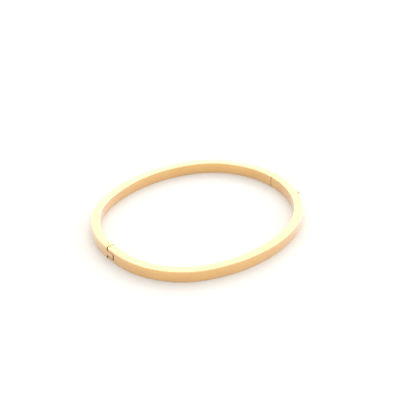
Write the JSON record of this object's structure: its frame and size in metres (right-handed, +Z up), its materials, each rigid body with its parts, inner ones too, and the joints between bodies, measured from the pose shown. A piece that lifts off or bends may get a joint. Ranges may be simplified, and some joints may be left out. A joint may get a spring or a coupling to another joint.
{
  "type": "hinged bangle",
  "caption": "Plain oval hinged bangle of polished gold with a flat-sided band, a flush knuckle hinge, and a hidden tongue clasp with a small push button.",
  "frame": {"origin": "middle of the oval's length and width, on its underside, where the bangle rests", "axes": "+X from the hinge to the clasp, +Y from the front half to the back half, +Z up, out of the band's upper edge"},
  "size_m": [0.0632, 0.0538, 0.0035],
  "materials": {
    "polished_gold": "polished",
    "fitting_gold": "polished, a little deeper in colour"
  },
  "bodies": {
    "front": {"front_half": "polished_gold", "hinge_pin": "fitting_gold"},
    "back": {"back_half": "polished_gold", "clasp_tongue": "fitting_gold"},
    "button": {"push_button": "fitting_gold"}
  },
  "joints": [
    {"name": "hinge", "type": "hinge", "parent": "front", "child": "back", "pos_m": [-0.0303, 0, 0.00175], "axis": [0, 0, 1], "range_deg": [0, 80]},
    {"name": "button_press", "type": "slide", "parent": "front", "child": "button", "axis": [-0.9438, 0.3305, 0], "range_m": [0, 0.0006], "stiffness_N_per_m": 1500, "springref_m": -0.0003}
  ]
}
